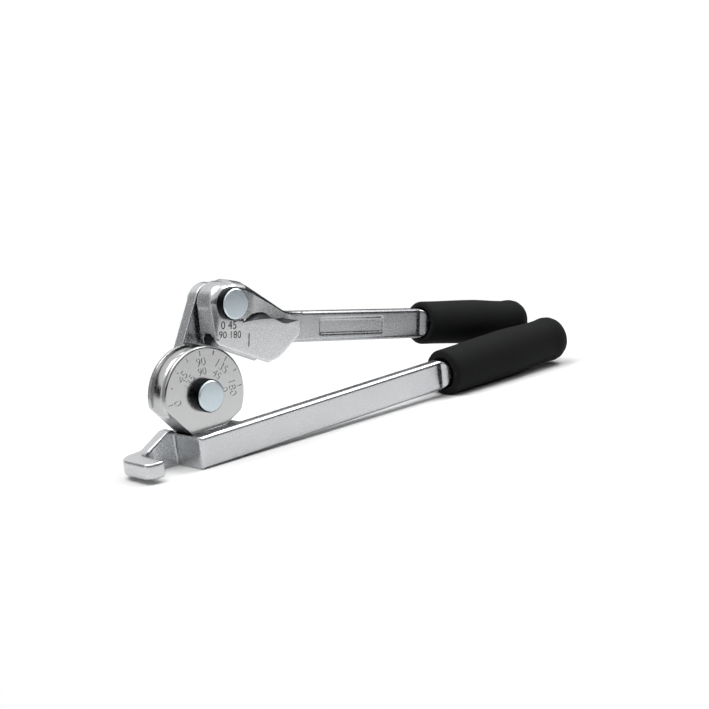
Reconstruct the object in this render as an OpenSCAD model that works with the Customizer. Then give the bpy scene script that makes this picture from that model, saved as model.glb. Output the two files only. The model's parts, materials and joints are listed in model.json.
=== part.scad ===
// Lever tube bender with a 180 degree forming wheel, lengths in millimetres.
// +X runs along the fixed handle from the hook to the grip, +Y to the back and +Z up.
// The origin lies on the flat underside of the fixed handle, straight below the wheel's axis
// and in the wheel's middle plane. The model is drawn with the handles partly closed.

/* [Tube] */
// Outside diameter of the tube that is bent
tube_d = 9.525; // [8:0.025:10.5]
// Room round the tube in the wheel, the shoe and the hook
tube_room = 0.1; // [0.05:0.05:0.3]

/* [Forming wheel] */
// Radius of the wheel's rim, which is the bend radius at the tube's centre line
wheel_r = 24; // [23:0.5:27]
// Thickness of the flange at each side of the groove
flange_t = 2.65; // [2.4:0.05:3.4]
// Height of the wheel's axis above its flat foot
foot_drop = 17.5; // [17:0.1:19]
// Distance from the axis to the hook end of the flat foot
foot_left = 10.5; // [10:0.5:12]
// Distance from the axis to the grip end of the flat foot
foot_right = 10; // [9.5:0.5:12]
// Drop of the point on the rim where the sloping cut to the foot starts
cut_drop = 2; // [0:0.5:4]
// Slope of the cut from the foot to the rim on the side of the grip
heel_slope = 26; // [20:1:32]
// Chamfer round the rim of the wheel
rim_chamfer = 0.6; // [0.2:0.1:1]

/* [Fixed handle] */
// Height of the handle bar
bar_h = 16.3; // [15:0.1:19]
// Thickness of the handle bar
bar_t = 7.4; // [7.2:0.1:9]
// Chamfer along the edges of the handle bar
bar_chamfer = 1.3; // [0.5:0.1:2]
// Distance from the wheel's axis to the end of the head block towards the hook
head_left = 12.3; // [12.1:0.1:14]
// Distance from the wheel's axis to the end of the head block towards the grip
head_right = 18; // [16:0.5:22]
// Radius of the upright edge at the hook end of the bar's front
edge_round = 2.5; // [1:0.1:4]
// Distance from the wheel's axis to the mouth of the grip
bar_reach = 155.7; // [130:0.1:180]
// Thickness of the hook's neck
neck_t = 7.5; // [5:0.1:9]
// Gap between the tube and the neck of the hook
neck_gap = 1; // [0.5:0.1:2]
// Height of the neck above the top of the bar
neck_rise = 1.5; // [0.5:0.1:1.5]
// Distance from the wheel's axis to the start of the neck's sloping top
neck_start = 16; // [15:0.5:20]
// Gap between the tube and the finger of the hook
hook_gap = 4.5; // [2:0.1:6]
// Thickness of the hook's finger along the handle
finger_t = 10.2; // [10:0.1:16]
// Height of the hook's finger
finger_h = 8.3; // [7:0.1:10]
// Height of the finger's underside above the underside of the bar
finger_lift = 2.7; // [1:0.1:4]
// Radius of the finger's front corner
finger_round = 5; // [2:0.5:7]
// Radius of the hook's outer corner at the back
hook_round = 10; // [5:0.5:10]
// Radius of the hollow inside the hook
hook_fillet = 7; // [5:0.5:7]

/* [Link] */
// Thickness of the link plate
link_t = 6.9; // [5.5:0.1:8]
// Width of the link plate
link_w = 19.3; // [18.5:0.1:23]

/* [Pins] */
// Diameter of both pivot pins
pin_d = 10; // [8:0.5:11]
// Diameter of the pin heads
pin_head_d = 16.4; // [15:0.1:17.5]
// Height of the wheel pin's head
wheel_head_h = 5.4; // [4:0.1:8]
// Height of the shoe pin's head
shoe_head_h = 5.2; // [3:0.1:7]
// Chamfer round the end face of a pin head
head_chamfer = 1.2; // [0.5:0.1:2]
// Wall of the bushes that turn on the pins
bush_wall = 1.5; // [1:0.1:2]
// Running clearance between a pin and its bush
run_fit = 0.04; // [0.02:0.01:0.08]
// Clearance of the pieces that don't turn on each other
fix_fit = 0.02; // [0.01:0.01:0.05]
// Thickness of the thrust washer between the wheel and the link
wheel_washer_t = 1.2; // [0.8:0.1:2]
// Thickness of the thrust washer between the shoe handle and the link
shoe_washer_t = 2.3; // [2:0.1:2.6]
// Thickness of the plain washers behind the link
back_washer_t = 1; // [0.6:0.1:1.6]
// How far a washer reaches out beyond a pin head
washer_rim = 0.8; // [0.4:0.1:1]
// Sheet thickness of the conical spring washers
spring_t = 0.6; // [0.4:0.1:0.8]
// Height of the cone of the conical spring washers
spring_rise = 0.4; // [0.2:0.1:0.6]
// Thickness of the retaining rings
ring_t = 1.2; // [0.8:0.1:1.6]
// Depth of the retaining ring's groove in the pin
ring_depth = 0.8; // [0.5:0.1:1]
// Height of a retaining ring above the pin
ring_lip = 2; // [1:0.1:2.5]
// Opening of a retaining ring
ring_gap = 5; // [3:0.5:6]
// Length of the pin that stands out behind its retaining ring
pin_tail = 1.2; // [0.8:0.1:2]

/* [Wheel fastening] */
// Thread diameter of the two screws that hold the wheel down
screw_d = 5; // [4:0.5:6]
// Distance between the two screws
screw_pitch = 12; // [11:0.5:13]
// Thread length of the screws inside the wheel
screw_grip = 8; // [6:0.5:9]
// Depth of a screw head below the underside of the head block
screw_sink = 1; // [0.5:0.5:3]
// Clearance round a screw in the head block
screw_room = 0.2; // [0.1:0.05:0.4]
// Diameter of the two dowels that locate the wheel
dowel_d = 4; // [3:0.5:4.5]
// Length of the dowel in each of the two pieces
dowel_half = 6; // [4:0.5:8]

/* [Shoe handle] */
// Thickness of the head and the shoe
shoe_t = 13.4; // [12.8:0.1:13.6]
// Radius of the head round the shoe pin
head_r = 10.6; // [10:0.1:12]
// Distance from the shoe pin's axis to the shoe's lip
lip_drop = 21.7; // [20.5:0.1:24]
// Angle between the shoe's lip and the handle bar
lip_angle = 16.5; // [14:0.5:18]
// Length of the lip
lip_len = 33; // [31:0.5:36]
// Height of the slanted lead before the lip
lip_lead = 2.8; // [1.5:0.1:4]
// Distance along the bar from the shoe pin's axis to the shoe's nose
shoe_reach = 45.9; // [43:0.1:50]
// Length of the nose's slope
nose_len = 13.7; // [11:0.1:15]
// Rise of the nose's lower corner above the end of the lip
nose_rise = 2.5; // [1:0.1:4]
// Height of the nose's blunt end
nose_end = 8.3; // [6:0.1:9]
// Rounding of the nose's blunt end
nose_round = 1.1; // [0.5:0.1:2]
// Drop of the shoe's flat top below the shoe pin's axis
shoe_step = 8.4; // [7:0.1:10]
// Clearance between the lip and the wheel's rim when the lip is square to the link
lip_room = 1; // [0.5:0.1:1.5]
// Height of the shoe handle's bar
lever_h = 16.4; // [14.5:0.1:17]
// Thickness of the shoe handle's bar
lever_t = 9; // [7.5:0.1:10]
// Chamfer along the edges of the shoe handle's bar
lever_chamfer = 1.2; // [0.5:0.1:2]
// Distance of the bar's centre line below the shoe pin's axis
lever_drop = 14.1; // [13:0.1:15.5]
// Slope of the web's top edge against the bar
web_slope = 19.5; // [19:0.5:26]
// Height above the shoe pin's axis of the crest along the back of the web
crest_h = 11.5; // [11:0.1:13]
// Drop of the crest at its end
crest_fall = 0.9; // [0.5:0.1:2]
// Distance along the bar from the shoe pin to the end of the crest
crest_reach = 10; // [8:0.5:12]
// Distance along the bar from the shoe pin to the bend in the back of the web
bend_reach = 22; // [20:0.5:26]
// Distance along the bar from the shoe pin to the end of the sloping web
web_reach = 54; // [52:0.5:65]
// Distance along the bar from the shoe pin to the mouth of the grip
lever_reach = 151.4; // [135:0.1:175]
// Distance from the end of the web to the sunk panel on the front of the bar
panel_start = 20; // [10:0.5:25]
// Length of the sunk panel
panel_len = 45; // [30:0.5:50]
// Height of the sunk panel
panel_h = 8.3; // [6:0.1:10]
// Depth of the sunk panel
panel_depth = 0.6; // [0.3:0.1:1]

/* [Grips] */
// Length of the fixed handle's grip
fixed_grip_len = 95; // [80:1:120]
// Largest diameter of the fixed handle's grip
fixed_grip_d = 26.6; // [25:0.1:30]
// Length of the shoe handle's grip
shoe_grip_len = 82; // [75:1:120]
// Largest diameter of the shoe handle's grip
shoe_grip_d = 25; // [24.5:0.1:30]
// Place of a grip's largest diameter, as a share of its length
grip_swell = 0.5; // [0.4:0.01:0.55]
// Length of the bead at the closed end
bead_len = 15; // [12:0.5:18]
// Drawing-in of the grip's waist before its end bead
grip_waist = 0.9; // [0.5:0.1:2]
// Drawing-in of the grip towards its mouth
grip_taper = 1; // [0.5:0.1:1.2]
// Radius of the rounding at the grip's mouth
mouth_round = 2; // [1:0.1:2]
// Radius of the rounding at the grip's closed end
grip_round = 9; // [5:0.5:9]
// Radius of the round cup at the grip's mouth
cup_r = 8.7; // [8.6:0.1:9]
// Depth of the cup
cup_depth = 6; // [4.5:0.5:8]
// How far the rounded end of a bar reaches into the cup
bar_sink = 3; // [1:0.1:4]
// Diameter of the round tang inside a grip
tang_d = 7; // [5:0.1:7.2]
// Thickness of foam beyond the end of the tang
grip_end = 10; // [6:1:16]
// Gap between the two grips as they pass each other
grip_gap = 1.5; // [0.6:0.1:4]

/* [Position] */
// Angle of the link above the fixed handle
link_angle = 61.2; // [30:0.2:120]
// Opening of the shoe from square to the link
shoe_open = 1.3; // [0:0.1:4]

/* [Hidden] */
$fn = 96;
skin = 0.01;
groove_r = tube_d / 2 + tube_room;
wheel_t = 2 * groove_r + 2 * flange_t;
wheel_z = bar_h + foot_drop;
foot_mid = (foot_right - foot_left) / 2;
screw_head_d = 1.7 * screw_d;
screw_head_h = screw_d;
socket_d = 0.92 * screw_d;
pin_r = pin_d / 2;
pin_head_r = pin_head_d / 2;
bush_r = pin_r + run_fit + bush_wall;
washer_r = pin_head_r + washer_rim;

// Places along Y, from the bar in front to the ends of the pins at the back
bar_back = -wheel_t / 2;
bar_front = bar_back - bar_t;
bar_mid = bar_back - bar_t / 2;
neck_front = groove_r + neck_gap;
neck_back = neck_front + neck_t;
link_front = wheel_t / 2 + wheel_washer_t;
link_back = link_front + link_t;
ring_front = link_back + back_washer_t + spring_t + spring_rise;
ring_back = ring_front + ring_t;
pin_end = ring_back + pin_tail;
shoe_back = link_front - shoe_washer_t;
shoe_front = shoe_back - shoe_t;
shoe_mid = shoe_back - shoe_t / 2;
lever_mid = bar_mid + fixed_grip_d / 2 + grip_gap + shoe_grip_d / 2;
lever_front = lever_mid - lever_t / 2;
lever_back = lever_mid + lever_t / 2;

// Hook, from the wheel's axis
finger_in = -wheel_r - groove_r - hook_gap;
finger_out = finger_in - finger_t;
finger_top = finger_lift + finger_h;
neck_top = bar_h + neck_rise;

// Shoe handle, from the shoe pin's axis and along its bar
link_len = wheel_r + lip_drop + lip_room;
lever_slope = 90 - link_angle - lip_angle - shoe_open;
lip_start = -lip_drop * [sin(lip_angle), cos(lip_angle)];
lip_end = lip_start + lip_len * [cos(lip_angle), -sin(lip_angle)];
shoe_top = -shoe_step;
shoe_start = 1.2 * head_r;
nose_dip = 2;
lever_top = -lever_drop + lever_h / 2;
lever_low = -lever_drop - lever_h / 2;
web_lap = 4;
web_touch = head_r * [sin(web_slope), cos(web_slope)];
knee = web_touch[0] + (web_touch[1] - lever_top) / tan(web_slope);
crest_start = head_r / 4;

grip_steps = 12;
round_steps = 6;

// Outline in X and Z, made solid from y0 to y1
module slab(y0, y1) {
    translate([0, y1, 0]) rotate([90, 0, 0]) linear_extrude(y1 - y0) children();
}

// Outline in Y and Z, made solid from x0 to x1
module rod(x0, x1) {
    translate([x0, 0, 0]) rotate([90, 0, 90]) linear_extrude(x1 - x0) children();
}

// Outline of radius and Y, turned round the Y axis
module turned() {
    rotate([-90, 0, 0]) rotate_extrude() children();
}

// Round hole or shaft along Y
module shaft(r, y0, y1) {
    translate([0, y0, 0]) rotate([-90, 0, 0]) cylinder(r = r, h = y1 - y0);
}

// Round hole or tang along X, starting at the origin
module tang(r, length) {
    rotate([0, 90, 0]) cylinder(r = r, h = length);
}

module on_wheel_axis() {
    translate([0, 0, wheel_z]) children();
}

module on_link() {
    on_wheel_axis() rotate([0, -link_angle, 0]) children();
}

module on_shoe_axis() {
    on_link() translate([link_len, 0, 0]) rotate([0, link_angle, 0]) children();
}

module on_lever() {
    on_shoe_axis() rotate([0, lever_slope, 0]) children();
}

// Rectangle in Y and Z with its four corners cut off
module bar_section(y0, z0, t, h, c) {
    polygon([[y0 + c, z0], [y0 + t - c, z0], [y0 + t, z0 + c], [y0 + t, z0 + h - c],
        [y0 + t - c, z0 + h], [y0 + c, z0 + h], [y0, z0 + h - c], [y0, z0 + c]]);
}

// Handle bar from x0 to its round end in the mouth of a grip at x1, with the tang that carries the grip
module handle_bar(x0, x1, y0, z0, t, h, c, grip_len) {
    end = x1 + bar_sink - h / 2;
    intersection() {
        rod(x0, x1 + bar_sink) bar_section(y0, z0, t, h, c);
        slab(y0, y0 + t) {
            translate([x0, z0]) square([end - x0, h]);
            translate([end, z0 + h / 2]) circle(h / 2);
        }
    }
    translate([end, y0 + t / 2, z0 + h / 2]) tang(tang_d / 2, x1 + grip_len - grip_end - end);
}

// Square corner at the origin that a rounding of radius r takes away from a wall lying towards +x and +y
module corner_cut(r) {
    difference() {
        translate([-skin, -skin]) square(r + skin);
        translate([r, r]) circle(r);
    }
}

// Top view of the hook: the neck along the back and the finger that comes round to the front
module hook_plan() {
    difference() {
        translate([finger_out, bar_front]) square([-head_left - finger_out + skin, neck_back - bar_front]);
        translate([finger_in, bar_front - skin]) square([-finger_in, neck_front - bar_front + skin]);
        translate([finger_out, bar_front]) corner_cut(finger_round);
        translate([finger_out, neck_back]) mirror([0, 1]) corner_cut(hook_round);
    }
    translate([finger_in, neck_front]) mirror([0, 1]) corner_cut(hook_fillet);
}

// Side view of the hook: level finger, then the neck that rises to the top of the head block
module hook_side() {
    polygon([[finger_out, finger_lift], [finger_in, finger_lift], [finger_in + finger_lift, 0], [0, 0],
        [0, neck_top], [-neck_start, neck_top], [finger_in + hook_gap, finger_top],
        [finger_out, finger_top]]);
}

// Places of the two screws that come up through the head block into the wheel
module at_wheel_screws() {
    for (side = [-1, 1]) {
        translate([foot_mid + side * screw_pitch / 2, 0, 0]) children();
    }
}

module at_wheel_dowels() {
    for (y = [-wheel_t / 4, wheel_t / 4]) {
        translate([foot_mid, y, bar_h]) children();
    }
}

module fixed_handle() {
    head_t = neck_back - bar_front;
    color("silver") difference() {
        union() {
            handle_bar(-head_left, bar_reach, bar_front, 0, bar_t, bar_h, bar_chamfer, fixed_grip_len);
            rod(-head_left, head_right) bar_section(bar_front, 0, head_t, bar_h, bar_chamfer);
            intersection() {
                linear_extrude(neck_top) hook_plan();
                slab(bar_front, neck_back) hook_side();
            }
        }
        translate([-head_left, bar_front, -skin]) linear_extrude(bar_h + 2 * skin) corner_cut(edge_round);
        at_wheel_screws() translate([0, 0, -skin]) {
            cylinder(d = screw_d + 2 * screw_room, h = bar_h + 2 * skin);
            cylinder(d = screw_head_d + 2 * screw_room, h = screw_sink + screw_head_h + 2 * skin);
        }
        at_wheel_dowels() translate([0, 0, -dowel_half])
            cylinder(d = dowel_d + 2 * fix_fit, h = dowel_half + skin);
    }
}

// Disc with chamfered rims, as radius and Y
module wheel_disc() {
    half = wheel_t / 2;
    polygon([[0, -half], [wheel_r - rim_chamfer, -half], [wheel_r, -half + rim_chamfer],
        [wheel_r, half - rim_chamfer], [wheel_r - rim_chamfer, half], [0, half]]);
}

// What is cut off the disc, seen along Y: all below the flat foot, and the slopes from the rim to the foot
module wheel_cut() {
    cut_x = sqrt(wheel_r * wheel_r - cut_drop * cut_drop);
    far = 2 * wheel_r;
    heel_top = -foot_drop + (far - foot_right) * tan(heel_slope);
    polygon([[-far, -cut_drop], [-cut_x, -cut_drop], [-foot_left, -foot_drop], [foot_right, -foot_drop],
        [far, heel_top], [far, -far], [-far, -far]]);
}

// Groove round the rim, with the straight run in which the tube leaves towards the hook
module wheel_groove() {
    intersection() {
        turned() translate([wheel_r, 0]) circle(groove_r);
        translate([-2 * wheel_r, -wheel_t, -foot_drop / 2]) cube([4 * wheel_r, 2 * wheel_t, 2 * wheel_r]);
    }
    translate([-wheel_r, 0, -foot_drop]) cylinder(r = groove_r, h = foot_drop);
}

module forming_wheel() {
    color("gainsboro") on_wheel_axis() difference() {
        turned() wheel_disc();
        slab(-wheel_t, wheel_t) wheel_cut();
        wheel_groove();
        shaft(pin_r + fix_fit, -wheel_t, wheel_t);
        at_wheel_screws() translate([0, 0, -foot_drop - skin])
            cylinder(d = screw_d + 2 * fix_fit, h = screw_grip + screw_sink);
        translate([0, 0, -wheel_z]) at_wheel_dowels() translate([0, 0, -skin])
            cylinder(d = dowel_d + 2 * fix_fit, h = dowel_half + skin);
    }
}

// Socket head screws, driven from the underside of the head block
module wheel_screws() {
    color("dimgray") at_wheel_screws() translate([0, 0, screw_sink]) difference() {
        union() {
            cylinder(d = screw_head_d, h = screw_head_h);
            cylinder(d = screw_d, h = bar_h + screw_grip - screw_sink);
        }
        translate([0, 0, -skin]) cylinder(d = socket_d, h = screw_head_h / 2, $fn = 6);
    }
}

module wheel_dowels() {
    color("gray") at_wheel_dowels() translate([0, 0, -dowel_half + skin])
        cylinder(d = dowel_d, h = 2 * dowel_half - 2 * skin);
}

// Headed pin along Y, with the head's inner face at y0 and a groove for the retaining ring
module headed_pin(y0, head_h) {
    turned() difference() {
        union() {
            polygon([[0, y0 - head_h], [pin_head_r - head_chamfer, y0 - head_h],
                [pin_head_r, y0 - head_h + head_chamfer], [pin_head_r, y0], [0, y0]]);
            polygon([[0, y0], [pin_r, y0], [pin_r, pin_end - pin_tail / 2],
                [pin_r - pin_tail / 2, pin_end], [0, pin_end]]);
        }
        translate([pin_r - ring_depth, ring_front - fix_fit]) square([pin_r, ring_t + 2 * fix_fit]);
    }
}

module wheel_pin() {
    color("lightsteelblue") on_wheel_axis() headed_pin(-wheel_t / 2, wheel_head_h);
}

module shoe_pin() {
    color("lightsteelblue") on_shoe_axis() headed_pin(shoe_front, shoe_head_h);
}

// Flat ring on a pin
module washer(y0, t) {
    difference() {
        shaft(washer_r, y0, y0 + t);
        shaft(pin_r + run_fit, y0 - skin, y0 + t + skin);
    }
}

// Conical ring that keeps the pivot stiff
module spring_washer() {
    y0 = link_back + back_washer_t;
    inner = pin_r + run_fit;
    outer = washer_r - washer_rim;
    turned() polygon([[inner, y0 + spring_rise], [outer, y0], [outer, y0 + spring_t],
        [inner, y0 + spring_rise + spring_t]]);
}

// Open ring that snaps into the groove of a pin
module retaining_ring() {
    inner = pin_r - ring_depth + fix_fit;
    outer = pin_r + ring_lip;
    difference() {
        shaft(outer, ring_front, ring_back);
        shaft(inner, ring_front - skin, ring_back + skin);
        translate([0, ring_front - skin, -ring_gap / 2]) cube([2 * outer, ring_t + 2 * skin, ring_gap]);
    }
}

module wheel_thrust_washer() {
    color("darkgoldenrod") on_wheel_axis() washer(wheel_t / 2, wheel_washer_t);
}

module wheel_back_washer() {
    color("silver") on_wheel_axis() washer(link_back, back_washer_t);
}

module wheel_spring_washer() {
    color("dimgray") on_wheel_axis() spring_washer();
}

module wheel_pin_ring() {
    color("dimgray") on_wheel_axis() retaining_ring();
}

module shoe_back_washer() {
    color("silver") on_shoe_axis() washer(link_back, back_washer_t);
}

module shoe_spring_washer() {
    color("dimgray") on_shoe_axis() spring_washer();
}

module shoe_pin_ring() {
    color("dimgray") on_shoe_axis() retaining_ring();
}

module shoe_thrust_washer() {
    color("darkgoldenrod") on_shoe_axis() washer(shoe_back, shoe_washer_t);
}

// Link that carries the shoe round the wheel, behind both
module link_plate() {
    color("silver") on_link() difference() {
        union() {
            slab(link_front, link_back) translate([0, -link_w / 2]) square([link_len, link_w]);
            for (x = [0, link_len]) {
                translate([x, 0, 0]) shaft(link_w / 2, link_front, link_back);
            }
        }
        shaft(bush_r + fix_fit, link_front - skin, link_back + skin);
        translate([link_len, 0, 0]) shaft(pin_r + fix_fit, link_front - skin, link_back + skin);
    }
}

// Plain bush round a pin
module bush(y0, y1) {
    difference() {
        shaft(bush_r, y0, y1);
        shaft(pin_r + run_fit, y0 - skin, y1 + skin);
    }
}

module link_bush() {
    color("darkgoldenrod") on_wheel_axis() bush(link_front, link_back);
}

module shoe_bush() {
    color("darkgoldenrod") on_shoe_axis() bush(shoe_front, shoe_back);
}

// Side view of the head and the shoe: round head, slanted lead, straight lip, sloping nose and level top
module shoe_side() {
    circle(head_r);
    polygon([[-head_r, 0], lip_start + [-lip_lead / 2, lip_lead], lip_start, lip_end,
        [shoe_reach - nose_len, lip_end[1] + nose_rise], [shoe_reach - nose_round, shoe_top - nose_end],
        [shoe_reach, shoe_top - nose_end / 2], [shoe_reach - nose_round, shoe_top - nose_round],
        [shoe_reach - nose_len + nose_dip, shoe_top - nose_dip], [shoe_reach - nose_len - nose_dip, shoe_top],
        [shoe_start, shoe_top], [0, 0]]);
}

// Side view of the web: from the head, which its top edge touches, down to the bar
module web_side() {
    polygon([[0, 0], web_touch, [knee, lever_top], [web_reach, lever_top], [web_reach, lever_low],
        [2 * head_r, lever_low], [shoe_start, lever_low + web_lap]]);
}

// Side view of the crest, which stands higher than the head
module crest_side() {
    polygon([[-crest_start, 0], [-crest_start, head_r - crest_fall], [crest_start, crest_h],
        [crest_reach, crest_h - crest_fall], [knee, lever_top], [shoe_start, 0]]);
}

// Top view of the web, which steps back from the shoe to the bar
module web_plan() {
    polygon([[0, shoe_front], [shoe_start, shoe_front], [web_reach, lever_front], [web_reach, lever_back],
        [web_reach - web_lap, lever_back], [bend_reach, shoe_back], [0, shoe_back]]);
}

// Top view of the crest, which is the back half of the web
module crest_plan() {
    polygon([[-crest_start, shoe_mid], [shoe_start, shoe_mid], [web_reach, lever_mid],
        [web_reach, lever_back], [web_reach - web_lap, lever_back], [bend_reach, shoe_back],
        [-crest_start, shoe_back]]);
}

module shoe_handle() {
    color("silver") on_lever() difference() {
        union() {
            slab(shoe_front, shoe_back) shoe_side();
            intersection() {
                slab(shoe_front, lever_back) web_side();
                translate([0, 0, lever_low]) linear_extrude(head_r - lever_low) web_plan();
            }
            intersection() {
                slab(shoe_mid, lever_back) crest_side();
                translate([0, 0, lever_low]) linear_extrude(crest_h - lever_low) crest_plan();
            }
            handle_bar(web_reach - web_lap, lever_reach, lever_front, lever_low, lever_t, lever_h,
                lever_chamfer, shoe_grip_len);
        }
        shaft(bush_r + fix_fit, shoe_front - skin, shoe_back + skin);
        translate([lip_start[0], 0, lip_start[1]]) rotate([0, 90 + lip_angle, 0])
            translate([0, 0, -2 * head_r]) cylinder(r = groove_r, h = 2 * head_r + shoe_reach + nose_len);
        translate([web_reach + panel_start, lever_front - skin, -lever_drop - panel_h / 2])
            cube([panel_len, panel_depth + skin, panel_h]);
    }
}

// Half cosine step from 0 to 1
function ease(t) = (1 - cos(180 * t)) / 2;

// Quarter round of radius r that ends at [x, y], going out from the axis or back to it
function round_out(x, y, r) = [for (i = [1 : round_steps]) let (a = 90 * i / round_steps)
    [x - r * (1 - sin(a)), y - r * cos(a)]];
function round_in(x, y, r) = [for (i = [1 : round_steps]) let (a = 90 * i / round_steps)
    [x - r * (1 - cos(a)), y - r * (1 - sin(a))]];

// Outline of a grip, as radius and distance from its mouth
function grip_outline(len, r) =
    let (
        swell = grip_swell * len,
        bead = len - bead_len,
        waist_r = r - grip_waist,
        bead_r = r - grip_waist / 2,
        bead_run = bead_len - grip_round
    )
    concat(
        [[0, 0], [r - grip_taper - mouth_round, 0]],
        round_out(r - grip_taper, mouth_round, mouth_round),
        [for (i = [1 : grip_steps]) let (t = i / grip_steps)
            [r - grip_taper * (1 - ease(t)), mouth_round + (swell - mouth_round) * t]],
        [for (i = [1 : grip_steps]) let (t = i / grip_steps)
            [r - grip_waist * ease(t), swell + (bead - swell) * t]],
        [for (i = [1 : round_steps]) let (t = i / round_steps)
            [waist_r + (bead_r - waist_r) * ease(t), bead + bead_run * t]],
        round_in(bead_r, len, grip_round),
        [[0, len]]);

// Foam grip along +X from its mouth, with a cup round the end of the bar and a bore for the tang
module grip(len, d) {
    difference() {
        rotate([0, 90, 0]) rotate_extrude() polygon(grip_outline(len, d / 2));
        translate([-skin, 0, 0]) tang(cup_r, cup_depth + skin);
        tang(tang_d / 2 + fix_fit, len - grip_end + fix_fit);
    }
}

module fixed_grip() {
    color("black") translate([bar_reach, bar_mid, bar_h / 2]) grip(fixed_grip_len, fixed_grip_d);
}

module shoe_grip() {
    color("black") on_lever() translate([lever_reach, lever_mid, -lever_drop])
        grip(shoe_grip_len, shoe_grip_d);
}

fixed_handle();
forming_wheel();
wheel_screws();
wheel_dowels();
wheel_pin();
wheel_thrust_washer();
wheel_back_washer();
wheel_spring_washer();
wheel_pin_ring();
fixed_grip();
link_plate();
link_bush();
shoe_pin();
shoe_back_washer();
shoe_spring_washer();
shoe_pin_ring();
shoe_handle();
shoe_bush();
shoe_thrust_washer();
shoe_grip();
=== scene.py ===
# %% [markdown]
# # A lever tube bender
#
# The tool bends soft tube by hand. The tube lies in the groove of a forming wheel, a hook holds it at the
# zero mark, and a shoe on the second handle is pulled round the wheel on a link. The frame that is loaded
# here has every piece at its real size, with the joints of the link and the shoe handle. This lesson gives
# the pieces their forged, turned and moulded surfaces, and leaves all places as the frame has them.

import json
import math

import bmesh
import bpy
from mathutils import Matrix, Vector


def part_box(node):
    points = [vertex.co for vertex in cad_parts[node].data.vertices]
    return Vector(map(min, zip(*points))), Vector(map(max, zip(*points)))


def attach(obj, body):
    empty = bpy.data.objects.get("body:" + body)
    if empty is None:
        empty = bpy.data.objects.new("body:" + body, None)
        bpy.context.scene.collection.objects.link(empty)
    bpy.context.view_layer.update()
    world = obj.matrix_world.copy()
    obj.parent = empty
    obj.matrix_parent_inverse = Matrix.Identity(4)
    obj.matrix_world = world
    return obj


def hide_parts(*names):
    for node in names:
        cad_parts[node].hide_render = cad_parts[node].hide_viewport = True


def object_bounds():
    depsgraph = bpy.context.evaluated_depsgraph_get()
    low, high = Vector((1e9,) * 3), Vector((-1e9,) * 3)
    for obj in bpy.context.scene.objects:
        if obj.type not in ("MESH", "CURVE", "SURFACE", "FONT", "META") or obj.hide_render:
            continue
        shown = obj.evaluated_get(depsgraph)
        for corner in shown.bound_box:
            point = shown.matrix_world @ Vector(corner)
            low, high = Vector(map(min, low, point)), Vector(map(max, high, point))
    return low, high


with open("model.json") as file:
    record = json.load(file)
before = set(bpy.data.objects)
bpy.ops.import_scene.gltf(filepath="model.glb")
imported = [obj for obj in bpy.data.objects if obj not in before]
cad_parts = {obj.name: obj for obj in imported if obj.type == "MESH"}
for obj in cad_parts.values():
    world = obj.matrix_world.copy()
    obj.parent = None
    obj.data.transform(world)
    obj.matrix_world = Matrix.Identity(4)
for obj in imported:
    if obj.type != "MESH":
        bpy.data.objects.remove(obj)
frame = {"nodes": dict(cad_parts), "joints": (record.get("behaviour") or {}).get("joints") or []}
nodes = frame["nodes"]
cad_low, cad_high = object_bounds()

MM = 0.001
joints = {joint["name"]: joint for joint in frame["joints"]}
wheel_axis = Vector(joints["link_swing"]["pos_m"])
shoe_axis = Vector(joints["shoe_handle_pivot"]["pos_m"])
print("frame box in mm:", [round(x / MM, 1) for x in (*cad_low, *cad_high)])

# %% [markdown]
# ## The camera
#
# The camera stands in front of the hook end, low and a little to the left, and it is rolled a few degrees.
# Its yaw, tilt and roll were found by setting known edges of the tool against the picture. It is placed by
# the pixel at which the wheel's axis has to appear, so nothing is shifted. The tool leans by a degree on
# the floor, because the grip is thicker than the bar, and the camera leans back with it.

# %% Place the camera
PICTURE_PX = 709
FOCAL_PX = 1632.7
SENSOR_MM = 36.0
CAMERA_DISTANCE = 800 * MM
CAMERA_YAW = math.radians(40.655)
CAMERA_TILT = math.radians(11.153)
CAMERA_ROLL = math.radians(6.085)
TOOL_LEAN = math.radians(1.0)
WHEEL_AXIS_PX = (196.343, 393.632)


def placed(name, data):
    """New object of some data, in the scene."""
    obj = bpy.data.objects.new(name, data)
    bpy.context.scene.collection.objects.link(obj)
    return obj


back = Vector((-math.sin(CAMERA_YAW) * math.cos(CAMERA_TILT),
               -math.cos(CAMERA_YAW) * math.cos(CAMERA_TILT),
               math.sin(CAMERA_TILT)))
level_right = Vector((math.cos(CAMERA_YAW), -math.sin(CAMERA_YAW), 0))
level_up = back.cross(level_right)
right = level_right * math.cos(CAMERA_ROLL) - level_up * math.sin(CAMERA_ROLL)
up = level_right * math.sin(CAMERA_ROLL) + level_up * math.cos(CAMERA_ROLL)
px_size = CAMERA_DISTANCE / FOCAL_PX
aside = right * (WHEEL_AXIS_PX[0] - PICTURE_PX / 2) - up * (WHEEL_AXIS_PX[1] - PICTURE_PX / 2)
eye = back * CAMERA_DISTANCE - aside * px_size

turn = Matrix((right, up, back)).transposed().to_4x4()
lean = Matrix.Rotation(TOOL_LEAN, 4, "Y")
camera = placed("camera", bpy.data.cameras.new("camera"))
camera.data.sensor_width = SENSOR_MM
camera.data.lens = FOCAL_PX * SENSOR_MM / PICTURE_PX
camera.matrix_world = Matrix.Translation(wheel_axis) @ lean @ Matrix.Translation(eye) @ turn
bpy.context.scene.camera = camera
bpy.context.scene.view_settings.view_transform = "Standard"
print("lens in mm:", round(camera.data.lens, 1))

# %% [markdown]
# ## Finishes
#
# Every finish is one Principled shader with a few noise patterns on Object coordinates, so that it sits
# still on its piece when the joints move. A pattern's scale is worked out from its real size on the tool.
# Colours are written as sRGB and made linear once. One function adds a node with its settings and links.


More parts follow.
